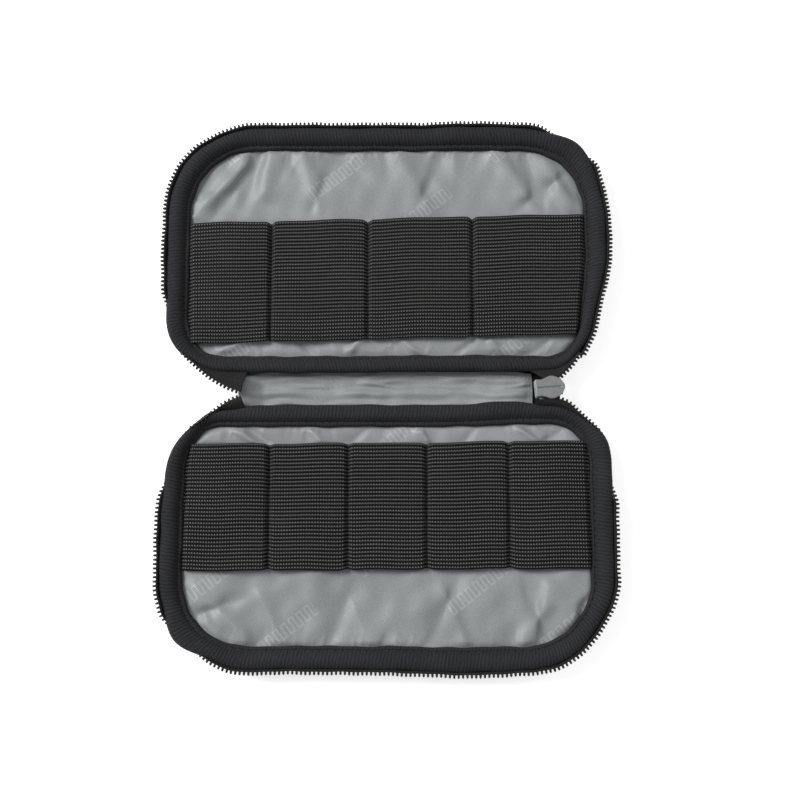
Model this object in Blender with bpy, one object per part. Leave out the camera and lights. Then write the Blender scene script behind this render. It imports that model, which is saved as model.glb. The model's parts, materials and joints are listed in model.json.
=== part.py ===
"""Zip-round cable organizer pouch, opened flat with its inside up.

Units are metres. +X points right along the spine, +Y towards the far half (four loops),
-Y towards the near half (five loops) and +Z up. The origin is on the table, under the
middle of the spine. The two padded halves fold up about two lines beside the spine.
"""

import math

import bmesh
import bpy
from mathutils import Vector

# Driving dimensions of the folding frame.
CLEARANCE = 0.0003
RIM_HEIGHT = 0.01125  # plane where the two rims meet when the pouch is closed
FOLD_HEIGHT = 0.003  # fold lines lie level with the top of the spine strip
FOLD_OFFSET = RIM_HEIGHT - FOLD_HEIGHT  # distance of each fold line from the spine's middle

# Outline of one padded half, measured at the edge of its outer cover.
PANEL_HALF_WIDTH = 0.0802
PANEL_FRONT = 0.0989
PANEL_SPINE_EDGE = FOLD_OFFSET + CLEARANCE
FRONT_RADIUS = 0.030
SPINE_RADIUS = 0.019
FRONT_STEPS = 9
SPINE_STEPS = 8

# Layers of one half, upwards from the table.
COVER_THICKNESS = 0.0007
COVER_WALL_TOP = 0.0040
FOAM_TOP = 0.0039
LINING_BOTTOM = 0.0043
LINING_TOP = 0.0049
ABOVE_LINING = LINING_TOP + CLEARANCE
RIDGE_TOP = 0.0088
SPINE_RIDGE_TOP = 0.0082
LOW_RIDGE_SHARE = 0.42  # share of a spine corner's depth over which the ridge stays low

# Elastic bands, sewn down between their loops.
BAND_NEAR = 0.0195
BAND_FAR = 0.0660
BAND_HALF_LENGTH = 0.0742
BAND_END_TAPER = 0.0032  # the band's ends slant in towards the spine corners
BAND_THICKNESS = 0.00095
LOOP_UNDERSIDE = 0.00925
SEAM_HALF_WIDTH = 0.0008
END_SEAM_WIDTH = 0.0016
FLANK_WIDTH = 0.0024
NEAR_DIVIDERS = (-0.0434, -0.0144, 0.0146, 0.0448)
FAR_DIVIDERS = (-0.0439, -0.0074, 0.0322)

# Zipper.
TAPE_END_ANGLE = math.radians(50)
COIL_OFFSET = 0.0035
COIL_HEIGHT = 0.0101
COIL_RADIUS = 0.0008
COIL_SIDES = 8
TAPE_END_BOTTOM = 0.0085
TAPE_END_TOP = 0.0091
TAPE_END_GAP = math.radians(1)  # between the rim's tape and the tape end
TAPE_END_MIDDLE = 0.00045  # distance of each tape end from the spine's middle
TAPE_END_INNER_X = 0.0523
TAPE_END_APEX_X = 0.0558

# Spine.
SPINE_COVER_HALF_LENGTH = 0.0550
SPINE_LINING_HALF_LENGTH = 0.0543
SPINE_COVER_LAYER = (0.0019, 0.0023)
SPINE_LINING_LAYER = (0.0026, FOLD_HEIGHT)
SPINE_COVER_HALF_WIDTH = 0.0081
SPINE_LINING_HALF_WIDTH = 0.0078

# Slider and pull.
SLIDER_TAIL_X = 0.0548
SLIDER_BOTTOM = 0.0066
SLIDER_PLATE = 0.0011
SLIDER_GAP = 0.0022
SLIDER_HALF_WIDTHS = (
    (0.0, 0.0032),
    (0.0028, 0.0032),
    (0.0046, 0.0039),
    (0.0064, 0.00425),
    (0.0084, 0.0039),
    (0.0102, 0.0029),
    (0.0113, 0.0016),
    (0.0117, 0.0004),
)
SLIDER_OVERLAP = 0.0002  # how far joined pieces of the slider reach into each other
WEDGE_FROM_NOSE = ((0.0050, 0.0), (0.0028, -0.0010), (0.0008, -0.0006), (0.0008, 0.0006), (0.0028, 0.0010))
RAIL_FROM_TAIL = (0.0003, 0.0046)
RAIL_SIDES = (0.0025, 0.0031)
RAIL_HEIGHT = 0.0005
GROOVE_DEPTH = 0.00025
GROOVE_HALF_WIDTH = 0.00022
GROOVE_FROM_TAIL = 0.0006
GROOVE_FROM_NOSE = 0.0012
PULL_PIVOT = Vector((0.0615, 0.0, 0.00555))
TAB_PIVOT = Vector((0.0572, 0.0, 0.0017))
LINK_WIRE = 0.00055
LINK_ARM_Y = 0.0021
BRIDGE_HALF_WIDTH = 0.0011
BRIDGE_TOP = SLIDER_BOTTOM - CLEARANCE
BRIDGE_SIDE_VIEW = (
    (0.0580, BRIDGE_TOP),
    (0.0584, 0.0050),
    (0.0594, 0.0041),
    (0.0642, 0.0041),
    (0.0652, 0.0050),
    (0.0656, BRIDGE_TOP),
    (0.0642, BRIDGE_TOP),
    (0.0638, 0.0052),
    (0.0632, 0.0048),
    (0.0602, 0.0048),
    (0.0596, 0.0052),
    (0.0592, BRIDGE_TOP),
)
TAB_THICKNESS = 0.0011
TAB_BOTTOM = 0.0003
TAB_HALF_WIDTH = 0.0036
TAB_NECK_HALF_WIDTH = 0.0012
TAB_NECK_X = TAB_PIVOT.x - 0.0034
TAB_NECK_OVERLAP = 0.0004
TAB_SHOULDER_X = TAB_NECK_X - 0.0024
TAB_TIP_X = 0.0320
TAB_EYE_OUTER = 0.0014
TAB_EYE_INNER = 0.00085
TAB_EYE_ARC = (math.radians(-90), math.radians(192))


def clear_scene():
    for old in list(bpy.data.objects):
        bpy.data.objects.remove(old, do_unlink=True)


def material(name, colour, roughness, metallic=0.0):
    made = bpy.data.materials.new(name)
    made.use_nodes = True
    shader = made.node_tree.nodes["Principled BSDF"]
    shader.inputs["Base Color"].default_value = (*colour, 1.0)
    shader.inputs["Roughness"].default_value = roughness
    shader.inputs["Metallic"].default_value = metallic
    return made


def pivot_empty(name, place, parent=None):
    """An empty on a fold line or hinge pin, which carries the pieces that turn about it."""
    empty = bpy.data.objects.new(name, None)
    empty.empty_display_size = 0.01
    bpy.context.scene.collection.objects.link(empty)
    empty.parent = parent
    empty.location = place - (parent.matrix_world.translation if parent else Vector())
    bpy.context.view_layer.update()
    return empty


def add_object(name, mesh_data, finish, pivot):
    """Links a bmesh as a named object under its pivot, keeping its place in the world."""
    bmesh.ops.recalc_face_normals(mesh_data, faces=mesh_data.faces)
    origin = pivot.matrix_world.translation
    bmesh.ops.translate(mesh_data, verts=mesh_data.verts, vec=-origin)
    mesh = bpy.data.meshes.new(name)
    mesh_data.to_mesh(mesh)
    mesh_data.free()
    mesh.shade_smooth()
    mesh.set_sharp_from_angle(angle=math.radians(35))
    mesh.materials.append(finish)
    piece = bpy.data.objects.new(name, mesh)
    bpy.context.scene.collection.objects.link(piece)
    piece.parent = pivot
    return piece


def arc(centre_x, centre_y, radius, start, stop, steps):
    """Points of an arc, both ends included."""
    angles = [start + (stop - start) * i / steps for i in range(steps + 1)]
    return [(centre_x + radius * math.cos(a), centre_y + radius * math.sin(a)) for a in angles]


def half_outline(offset):
    """Closed outline of the far half, counter-clockwise, moved outwards by offset."""
    front_x = PANEL_HALF_WIDTH - FRONT_RADIUS
    front_y = PANEL_FRONT - FRONT_RADIUS
    spine_x = PANEL_HALF_WIDTH - SPINE_RADIUS
    spine_y = PANEL_SPINE_EDGE + SPINE_RADIUS
    quarter = math.pi / 2
    front = FRONT_RADIUS + offset
    spine = SPINE_RADIUS + offset
    return (
        arc(spine_x, spine_y, spine, -quarter, 0, SPINE_STEPS)
        + arc(front_x, front_y, front, 0, quarter, FRONT_STEPS)
        + arc(-front_x, front_y, front, quarter, 2 * quarter, FRONT_STEPS)
        + arc(-spine_x, spine_y, spine, 2 * quarter, 3 * quarter, SPINE_STEPS)
    )


def rim_outline(offset):
    """Open outline round the far half's rim, from its right spine corner to its left one."""
    front_x = PANEL_HALF_WIDTH - FRONT_RADIUS
    front_y = PANEL_FRONT - FRONT_RADIUS
    spine_x = PANEL_HALF_WIDTH - SPINE_RADIUS
    spine_y = PANEL_SPINE_EDGE + SPINE_RADIUS
    quarter = math.pi / 2
    front = FRONT_RADIUS + offset
    spine = SPINE_RADIUS + offset
    return (
        arc(spine_x, spine_y, spine, -TAPE_END_ANGLE, 0, SPINE_STEPS)
        + arc(front_x, front_y, front, 0, quarter, FRONT_STEPS)
        + arc(-front_x, front_y, front, quarter, 2 * quarter, FRONT_STEPS)
        + arc(-spine_x, spine_y, spine, 2 * quarter, 2 * quarter + TAPE_END_ANGLE, SPINE_STEPS)
    )


def bridge_rings(mesh_data, rings):
    """Joins neighbouring rings of vertices, each ring closed, with quads."""
    for lower, upper in zip(rings, rings[1:]):
        count = len(lower)
        for i in range(count):
            j = (i + 1) % count
            mesh_data.faces.new((lower[i], lower[j], upper[j], upper[i]))


def stacked_solid(layers, side):
    """A solid whose closed outlines follow (offset, height) layers, capped at both ends."""
    made = bmesh.new()
    rings = []
    for offset, height in layers:
        outline = half_outline(offset)
        rings.append([made.verts.new((x, side * y, height)) for x, y in outline])
    bridge_rings(made, rings)
    made.faces.new(rings[0])
    made.faces.new(rings[-1])
    return made


def swept_rim(profile, side):
    """A strip of constant (offset, height) profile along the open rim, with end caps."""
    made = bmesh.new()
    lines = [rim_outline(offset) for offset, _ in profile]
    rings = []
    for station in range(len(lines[0])):
        ring = []
        for line, (_, height) in zip(lines, profile):
            x, y = line[station]
            ring.append(made.verts.new((x, side * y, height)))
        rings.append(ring)
    bridge_rings(made, rings)
    made.faces.new(rings[0])
    made.faces.new(rings[-1])
    return made


def extruded(outline, low, high):
    """A prism over an outline in plan, between two heights."""
    made = bmesh.new()
    rings = [[made.verts.new((x, y, z)) for x, y in outline] for z in (low, high)]
    bridge_rings(made, rings)
    made.faces.new(rings[0])
    made.faces.new(rings[1])
    return made


def blend(start, stop, share):
    return start + (stop - start) * share


# Profiles of one half's layers as (offset, height), where offset 0 is the cover's edge.
COVER_SECTION = (
    (-0.0020, 0.0),
    (0.0, 0.0020),
    (0.0, COVER_WALL_TOP),
    (-COVER_THICKNESS, COVER_WALL_TOP),
    (-COVER_THICKNESS, 0.0020 + COVER_THICKNESS / 2),
    (-0.0020 - COVER_THICKNESS / 2, COVER_THICKNESS),
)
FOAM_SECTION = ((-0.0029, COVER_THICKNESS + CLEARANCE), (-0.0011, 0.0028), (-0.0011, FOAM_TOP))
LINING_SECTION = ((-CLEARANCE, LINING_BOTTOM), (-CLEARANCE, LINING_TOP))
TAPE_SECTION = (
    (0.00085, 0.0032),
    (0.00185, 0.0069),
    (0.0028, 0.0086),
    (0.0024, 0.0089),
    (0.0014, 0.0072),
    (0.00035, 0.0034),
)

# Profiles of the bound seam ridge as (offset, height), at the rim and beside the spine.
RIM_RIDGE = (
    (-0.0004, ABOVE_LINING),
    (0.0008, 0.0071),
    (0.0003, 0.0084),
    (-0.0018, RIDGE_TOP),
    (-0.0043, 0.0073),
    (-0.0056, ABOVE_LINING),
)
SPINE_RIDGE = (
    (-0.0003, ABOVE_LINING),
    (0.0, 0.0066),
    (-0.0004, 0.0078),
    (-0.0015, SPINE_RIDGE_TOP),
    (-0.0030, 0.0062),
    (-0.0046, ABOVE_LINING),
)


def binding_ring(side):
    """The bound seam all round a half. Its ridge narrows and drops beside the spine."""
    made = bmesh.new()
    reference = half_outline(0.0)
    corner_top = PANEL_SPINE_EDGE + SPINE_RADIUS
    shares = []
    for _, y in reference:
        rise = (y - PANEL_SPINE_EDGE) / (corner_top - PANEL_SPINE_EDGE)
        rise = min(max((rise - LOW_RIDGE_SHARE) / (1.0 - LOW_RIDGE_SHARE), 0.0), 1.0)
        shares.append(math.sin(rise * math.pi / 2))
    columns = []
    for near, far in zip(SPINE_RIDGE, RIM_RIDGE):
        spine_line = half_outline(near[0])
        rim_line = half_outline(far[0])
        column = []
        for share, first, second in zip(shares, spine_line, rim_line):
            x = blend(first[0], second[0], share)
            y = blend(first[1], second[1], share)
            z = blend(near[1], far[1], share)
            column.append(made.verts.new((x, side * y, z)))
        columns.append(column)
    bridge_rings(made, columns + columns[:1])
    return made


def band_profile(dividers):
    """(x, rise) along an elastic band, where rise is 0 on a seam and 1 on a loop's top."""
    points = [(-BAND_HALF_LENGTH, 0.0), (-BAND_HALF_LENGTH + END_SEAM_WIDTH, 0.0)]
    seams = [(-BAND_HALF_LENGTH, END_SEAM_WIDTH)]
    seams += [(x, SEAM_HALF_WIDTH) for x in dividers]
    seams += [(BAND_HALF_LENGTH, END_SEAM_WIDTH)]
    for (left, left_half), (right, right_half) in zip(seams, seams[1:]):
        start = left + left_half
        stop = right - right_half
        points += [(start, 0.0), (start + FLANK_WIDTH / 2, 0.7), (start + FLANK_WIDTH, 1.0)]
        points += [(stop - FLANK_WIDTH, 1.0), (stop - FLANK_WIDTH / 2, 0.7), (stop, 0.0)]
    points.append((BAND_HALF_LENGTH, 0.0))
    return sorted(set(points))


def elastic_band(dividers, side):
    """One flat woven band: a strip in X with a raised loop between each pair of seams."""
    made = bmesh.new()
    rings = []
    for x, rise in band_profile(dividers):
        low = blend(ABOVE_LINING, LOOP_UNDERSIDE, rise)
        last_seam = abs(dividers[-1] if x > 0 else dividers[0])
        outwards = max((abs(x) - last_seam) / (BAND_HALF_LENGTH - last_seam), 0.0)
        near_x = x - math.copysign(BAND_END_TAPER * outwards, x)
        corners = (
            (near_x, BAND_NEAR, low),
            (x, BAND_FAR, low),
            (x, BAND_FAR, low + BAND_THICKNESS),
            (near_x, BAND_NEAR, low + BAND_THICKNESS),
        )
        rings.append([made.verts.new((px, side * y, z)) for px, y, z in corners])
    bridge_rings(made, rings)
    made.faces.new(rings[0])
    made.faces.new(rings[-1])
    return made


def tape_end_outline(side_x, side_y):
    """Plan of the tape that spans from a half's spine corner to the end of the spine."""
    spine_x = PANEL_HALF_WIDTH - SPINE_RADIUS
    spine_y = PANEL_SPINE_EDGE + SPINE_RADIUS
    inner = SPINE_RADIUS + CLEARANCE
    outer = SPINE_RADIUS + COIL_OFFSET + COIL_RADIUS
    stop = -TAPE_END_ANGLE - TAPE_END_GAP
    seam = arc(spine_x, spine_y, inner, stop, -math.pi / 2, 5)
    seam.append((TAPE_END_INNER_X, PANEL_SPINE_EDGE - CLEARANCE))
    tip = (spine_x + outer * math.cos(stop), spine_y + outer * math.sin(stop))
    apex = [(TAPE_END_INNER_X, TAPE_END_MIDDLE), (TAPE_END_APEX_X, TAPE_END_MIDDLE)]
    return [(side_x * x, side_y * y) for x, y in seam + apex + [tip]]


def side_extruded(side_view, half_width):
    """A prism over an (x, z) outline seen from the side."""
    made = bmesh.new()
    rings = [[made.verts.new((x, y, z)) for x, z in side_view] for y in (-half_width, half_width)]
    bridge_rings(made, rings)
    made.faces.new(rings[0])
    made.faces.new(rings[1])
    return made


def box(low, high):
    """A box between two corners."""
    outline = [(low[0], low[1]), (high[0], low[1]), (high[0], high[1]), (low[0], high[1])]
    return extruded(outline, low[2], high[2])


def slider_outline():
    """Plan of a slider plate, from its square tail to its pointed nose and back."""
    right = [(SLIDER_TAIL_X + x, -w) for x, w in SLIDER_HALF_WIDTHS]
    left = [(SLIDER_TAIL_X + x, w) for x, w in reversed(SLIDER_HALF_WIDTHS)]
    return right + left


def combine(target, tool_mesh, operation):
    """Adds a Boolean modifier whose tool is a hidden helper object."""
    tool = add_object(f"{target.name}_tool_{len(target.modifiers)}", tool_mesh,
                      target.data.materials[0], target.parent)
    tool.hide_render = True
    tool.display_type = "WIRE"
    modifier = target.modifiers.new(operation.title(), "BOOLEAN")
    modifier.operation = operation
    modifier.solver = "EXACT"
    modifier.object = tool


def slider_body(finish, pivot):
    """Cast body: two nosed plates joined by a wedge, with short rails towards the tail."""
    gap_low = SLIDER_BOTTOM + SLIDER_PLATE
    gap_high = gap_low + SLIDER_GAP
    top = gap_high + SLIDER_PLATE
    body = add_object("slider_body", extruded(slider_outline(), gap_high, top), finish, pivot)
    combine(body, extruded(slider_outline(), SLIDER_BOTTOM, gap_low), "UNION")
    nose = SLIDER_TAIL_X + SLIDER_HALF_WIDTHS[-1][0]
    wedge = [(nose - back, y) for back, y in WEDGE_FROM_NOSE]
    combine(body, extruded(wedge, gap_low - SLIDER_OVERLAP, gap_high + SLIDER_OVERLAP), "UNION")
    rail_start, rail_stop = (SLIDER_TAIL_X + x for x in RAIL_FROM_TAIL)
    rail_layers = (
        (gap_low - SLIDER_OVERLAP, gap_low + RAIL_HEIGHT),
        (gap_high - RAIL_HEIGHT, gap_high + SLIDER_OVERLAP),
    )
    for side in (-1, 1):
        low_y, high_y = sorted(side * y for y in RAIL_SIDES)
        for low_z, high_z in rail_layers:
            rail = box((rail_start, low_y, low_z), (rail_stop, high_y, high_z))
            combine(body, rail, "UNION")
    groove = box(
        (SLIDER_TAIL_X + GROOVE_FROM_TAIL, -GROOVE_HALF_WIDTH, top - GROOVE_DEPTH),
        (nose - GROOVE_FROM_NOSE, GROOVE_HALF_WIDTH, top + SLIDER_PLATE),
    )
    combine(body, groove, "DIFFERENCE")
    return body


def slider_bridge(finish, pivot):
    """Arch under the outer plate, which holds the pull link's bar."""
    return add_object("slider_bridge", side_extruded(BRIDGE_SIDE_VIEW, BRIDGE_HALF_WIDTH), finish, pivot)


def link_wire():
    """Closed loop of square wire, swept round the rectangle between the two bars."""
    along = (TAB_PIVOT - PULL_PIVOT).normalized()
    across = Vector((0.0, 1.0, 0.0))
    normal = along.cross(across)
    length = (TAB_PIVOT - PULL_PIVOT).length
    corners = [(0.0, -1), (0.0, 1), (length, 1), (length, -1)]
    made = bmesh.new()
    rings = []
    for place, side in corners:
        grow = 1 if place else -1
        centre = PULL_PIVOT + along * place + across * side * LINK_ARM_Y
        out = along * grow * LINK_WIRE + across * side * LINK_WIRE
        up = normal * LINK_WIRE
        rings.append([made.verts.new(centre + p) for p in (-out - up, out - up, out + up, -out + up)])
    bridge_rings(made, rings + rings[:1])
    return made


def pull_tab(finish, pivot):
    """Moulded tab: an eye round the link's bar, a neck and a flat tongue with a round end."""
    tongue_top = TAB_BOTTOM + TAB_THICKNESS
    eye = arc(TAB_PIVOT.x, TAB_PIVOT.z, TAB_EYE_OUTER, *TAB_EYE_ARC, 14)
    neck = [(TAB_NECK_X, tongue_top), (TAB_NECK_X, TAB_BOTTOM)]
    tab = add_object("pull_tab", side_extruded(eye + neck, TAB_NECK_HALF_WIDTH), finish, pivot)
    round_x = TAB_TIP_X + TAB_HALF_WIDTH
    root_x = TAB_NECK_X + TAB_NECK_OVERLAP
    tongue = [(root_x, -TAB_NECK_HALF_WIDTH), (root_x, TAB_NECK_HALF_WIDTH)]
    tongue.append((TAB_SHOULDER_X, TAB_HALF_WIDTH))
    tongue += arc(round_x, 0.0, TAB_HALF_WIDTH, math.pi / 2, 3 * math.pi / 2, 10)
    tongue.append((TAB_SHOULDER_X, -TAB_HALF_WIDTH))
    combine(tab, extruded(tongue, TAB_BOTTOM, tongue_top), "UNION")
    hole = bmesh.new()
    bmesh.ops.create_cone(hole, cap_ends=True, segments=16, radius1=TAB_EYE_INNER,
                          radius2=TAB_EYE_INNER, depth=2 * TAB_HALF_WIDTH)
    turn = Vector((0, 0, 1)).rotation_difference(Vector((0, 1, 0))).to_matrix()
    bmesh.ops.rotate(hole, verts=hole.verts, matrix=turn)
    bmesh.ops.translate(hole, verts=hole.verts, vec=TAB_PIVOT)
    combine(tab, hole, "DIFFERENCE")
    return tab


def padded_half(name, side, dividers, finishes, pivot):
    """All layers of one half, from its outer cover to its rim."""
    for layer, section, finish in (
        ("outer_cover", COVER_SECTION, "cover"),
        ("foam_pad", FOAM_SECTION, "foam"),
        ("lining", LINING_SECTION, "lining"),
    ):
        add_object(f"{name}_{layer}", stacked_solid(section, side), finishes[finish], pivot)
    add_object(f"{name}_binding", binding_ring(side), finishes["binding"], pivot)
    band = elastic_band(dividers, side)
    add_object(f"{name}_elastic_band", band, finishes["elastic"], pivot)
    tape = swept_rim(TAPE_SECTION, side)
    add_object(f"{name}_zipper_tape", tape, finishes["tape"], pivot)
    coil = []
    for i in range(COIL_SIDES):
        angle = 2 * math.pi * i / COIL_SIDES
        coil.append((COIL_OFFSET + COIL_RADIUS * math.cos(angle),
                     COIL_HEIGHT + COIL_RADIUS * math.sin(angle)))
    add_object(f"{name}_zipper_coil", swept_rim(coil, side), finishes["coil"], pivot)


def main():
    clear_scene()
    black = (0.012, 0.012, 0.013)
    finishes = {
        "cover": material("cover_fabric", black, 0.85),
        "foam": material("foam", (0.10, 0.10, 0.10), 0.95),
        "lining": material("lining_satin", (0.30, 0.33, 0.325), 0.40),
        "binding": material("knit_binding", (0.015, 0.015, 0.016), 0.80),
        "elastic": material("woven_elastic", (0.03, 0.03, 0.03), 0.75),
        "tape": material("zipper_tape", black, 0.85),
        "coil": material("nylon_coil", (0.01, 0.01, 0.01), 0.35),
        "slider": material("painted_slider", (0.33, 0.35, 0.345), 0.45, 0.3),
        "pull": material("pull_rubber", (0.02, 0.02, 0.02), 0.60),
    }
    near_half = pivot_empty("base_frame", Vector((0.0, 0.0, 0.0)))
    spine = pivot_empty("spine_fold", Vector((0.0, -FOLD_OFFSET, FOLD_HEIGHT)), near_half)
    far_half = pivot_empty("top_fold", Vector((0.0, FOLD_OFFSET, FOLD_HEIGHT)), spine)
    slider = pivot_empty("slider_track", Vector((SLIDER_TAIL_X, 0.0, SLIDER_BOTTOM)), spine)
    link = pivot_empty("link_pin", PULL_PIVOT, slider)
    tab = pivot_empty("tab_pin", TAB_PIVOT, link)

    padded_half("base", -1, NEAR_DIVIDERS, finishes, near_half)
    padded_half("top", 1, FAR_DIVIDERS, finishes, far_half)

    for name, half_length, half_width, layer, finish in (
        ("spine_cover", SPINE_COVER_HALF_LENGTH, SPINE_COVER_HALF_WIDTH, SPINE_COVER_LAYER, "cover"),
        ("spine_lining", SPINE_LINING_HALF_LENGTH, SPINE_LINING_HALF_WIDTH, SPINE_LINING_LAYER,
         "lining"),
    ):
        low = (-half_length, -half_width, layer[0])
        high = (half_length, half_width, layer[1])
        add_object(name, box(low, high), finishes[finish], spine)

    for side_name, side_y in (("base", -1), ("top", 1)):
        for end_name, side_x in (("left", -1), ("right", 1)):
            outline = tape_end_outline(side_x, side_y)
            piece = extruded(outline, TAPE_END_BOTTOM, TAPE_END_TOP)
            add_object(f"{side_name}_tape_end_{end_name}", piece, finishes["tape"], spine)

    slider_body(finishes["slider"], slider)
    slider_bridge(finishes["slider"], slider)
    add_object("pull_link", link_wire(), finishes["slider"], link)
    pull_tab(finishes["pull"], tab)


main()
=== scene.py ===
"""Looks of a zip-round cable organizer pouch, opened flat with its inside up.

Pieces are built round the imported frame: bodies base (near half, five loops), spine, top (far half,
four loops), slider, pull_link and pull_tab. Lengths are in metres, MM turns millimetres into them.
"""
import json
import math

import bmesh
import bpy
import numpy as np
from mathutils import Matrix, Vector


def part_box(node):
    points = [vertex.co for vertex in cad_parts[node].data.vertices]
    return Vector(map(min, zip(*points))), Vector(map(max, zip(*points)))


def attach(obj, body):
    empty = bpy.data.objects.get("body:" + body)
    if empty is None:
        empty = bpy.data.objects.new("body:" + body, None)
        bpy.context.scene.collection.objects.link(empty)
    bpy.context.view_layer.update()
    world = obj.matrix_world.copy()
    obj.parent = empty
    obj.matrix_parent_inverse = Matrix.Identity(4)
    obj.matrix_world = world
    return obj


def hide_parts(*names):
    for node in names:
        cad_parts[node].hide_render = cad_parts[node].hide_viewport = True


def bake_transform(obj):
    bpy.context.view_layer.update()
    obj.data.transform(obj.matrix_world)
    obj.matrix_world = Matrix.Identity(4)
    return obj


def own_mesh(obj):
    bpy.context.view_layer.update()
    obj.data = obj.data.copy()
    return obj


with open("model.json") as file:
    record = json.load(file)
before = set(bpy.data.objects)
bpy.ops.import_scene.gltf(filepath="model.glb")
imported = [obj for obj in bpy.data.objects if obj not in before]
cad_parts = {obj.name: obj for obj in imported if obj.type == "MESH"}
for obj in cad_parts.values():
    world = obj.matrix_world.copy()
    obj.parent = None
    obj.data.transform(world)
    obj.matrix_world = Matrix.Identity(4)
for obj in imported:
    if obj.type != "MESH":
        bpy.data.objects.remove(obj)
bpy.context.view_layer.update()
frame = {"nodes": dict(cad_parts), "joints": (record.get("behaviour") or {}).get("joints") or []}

MM = 0.001
SIDES = {"base": -1.0, "top": 1.0}

# ---------------------------------------------------------------- sizes read from the frame
PANEL_LOW, PANEL_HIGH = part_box("top_outer_cover")
HALF_WIDTH = PANEL_HIGH.x
FRONT = PANEL_HIGH.y
SPINE_EDGE = PANEL_LOW.y
LINING_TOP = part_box("top_lining")[1].z
BAND_LOW, BAND_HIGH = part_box("top_elastic_band")
STRIP_LOW, STRIP_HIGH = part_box("spine_lining")
SLIDER_LOW, SLIDER_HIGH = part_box("slider_body")
JOINTS = {joint["name"]: joint["pos_m"] for joint in frame["joints"] if "pos_m" in joint}
FOLD_Y = abs(JOINTS["top_fold"][1])

# ---------------------------------------------------------------- sizes of the soft goods
FRONT_RADIUS = 30 * MM
SPINE_RADIUS = 19 * MM
RIB_PITCH = 1.30 * MM
TOOTH_PITCH = 1.57 * MM
WIRE_RADIUS = 0.45 * MM
ROW_PITCH = 1.35 * MM
STITCH_SHARE = 0.72
CORNER_ANGLE = math.radians(40)
DIVIDERS = {
    "base": (-43.4 * MM, -14.4 * MM, 14.6 * MM, 44.8 * MM),
    "top": (-43.9 * MM, -7.4 * MM, 32.2 * MM),
}
BAND_SLANT = {"base": 0.006, "top": 0.024}
LOOP_HEIGHT = 2.9 * MM
SPINE_CLOTH = (-55.2 * MM, 62.0 * MM)

# Where the laid pouch leaves its sewn outline: half, centre, reach and shift.
LAY = (
    ("top", (84, 18), 36, (-6.3, 0.0)),
    ("top", (84, 77), 14, (-1.1, 0.0)),
    ("top", (72, 94), 18, (1.5, 1.5)),
    ("top", (34, 103), 26, (0.0, 0.6)),
    ("top", (-66, 103), 14, (0.0, -1.0)),
    ("top", (-84, 55), 20, (-0.4, 0.0)),
    ("top", (30, 9), 60, (0.0, 0.7)),
    ("base", (-82, -10), 22, (4.8, 0.0)),
    ("base", (-82, -30), 18, (1.2, 0.0)),
    ("base", (80, -10), 14, (1.6, 0.0)),
    ("base", (54, -9), 34, (0.0, 1.7)),
    ("base", (79, -90), 22, (-1.3, 0.0)),
    ("base", (-76, -92), 16, (-2.0, -0.8)),
    ("base", (-65, -103), 12, (0.0, 1.2)),
    ("base", (28, -103), 32, (0.0, -1.0)),
    ("base", (-30, -102), 26, (0.0, 0.3)),
)
# Stretches of rim where the coil is tucked under the binding: half, centre and reach.
TUCKS = (
    ("top", (70, 95), 14),
    ("top", (-80, 22), 16),
    ("base", (-77, -24), 18),
    ("base", (-74, -92), 14),
    ("base", (80, -23), 20),
)


# ---------------------------------------------------------------- small helpers
def smooth(t):
    t = np.clip(t, 0.0, 1.0)
    return t * t * (3 - 2 * t)


def waves(s, seed, wavelengths, length=None):
    """Sum of sines with random phases, of about unit height; closed over length if it is given."""
    random = np.random.RandomState(seed)
    total = np.zeros_like(s)
    for wavelength in wavelengths:
        if length:
            wavelength = length / max(1, round(length / wavelength))
        total += np.sin(2 * np.pi * s / wavelength + random.uniform(0, 2 * np.pi))
    return total / len(wavelengths)


def cloud(x, y, seed, size, count=9):
    """Smooth two-dimensional noise of about unit height, from sines in random directions."""
    random = np.random.RandomState(seed)
    total = np.zeros_like(x)
    for _ in range(count):
        angle = random.uniform(0, 2 * np.pi)
        step = 2 * np.pi / (size * random.uniform(0.7, 1.5))
        total += np.sin(step * (x * np.cos(angle) + y * np.sin(angle)) + random.uniform(0, 6.28))
    return total / math.sqrt(count)


def lengths(points):
    """Running length along a line of points."""
    return np.concatenate([[0], np.cumsum(np.linalg.norm(np.diff(points, axis=0), axis=1))])


def read_off(s, along, data):
    """The columns of data, known at lengths along, at lengths s."""
    return np.stack([np.interp(s, along, column) for column in data.T], axis=-1)


def tangents(path):
    tangent = np.gradient(path, axis=0)
    return tangent / np.linalg.norm(tangent, axis=1)[:, None]


def between(a, b, c, d, f):
    """Share f of the way from b to c, on a smooth curve through a, b, c and d."""
    return 0.5 * (2 * b + (c - a) * f + (2 * a - 5 * b + 4 * c - d) * f**2
                  + (3 * b - a - 3 * c + d) * f**3)


def closed_spline(points, count):
    """Smooth closed curve through control points, as count points evenly spread by parameter."""
    points = np.array(points, float)
    total = len(points)
    t = np.arange(count) * total / count
    i = t.astype(int)
    return between(*(points[(i + k) % total] for k in (-1, 0, 1, 2)), (t - i)[:, None])


def open_spline(points, count):
    """Smooth curve through control points, ends included, evenly spread along its length."""
    points = np.array(points, float)
    padded = np.vstack([2 * points[0] - points[1], points, 2 * points[-1] - points[-2]])
    f = np.linspace(0, 1, 40, endpoint=False)[:, None]
    fine = [between(*knots, f) for knots in zip(padded, padded[1:], padded[2:], padded[3:])]
    fine = np.vstack(fine + [points[-1:]])
    along = lengths(fine)
    return read_off(np.linspace(0, along[-1], count), along, fine)


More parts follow.
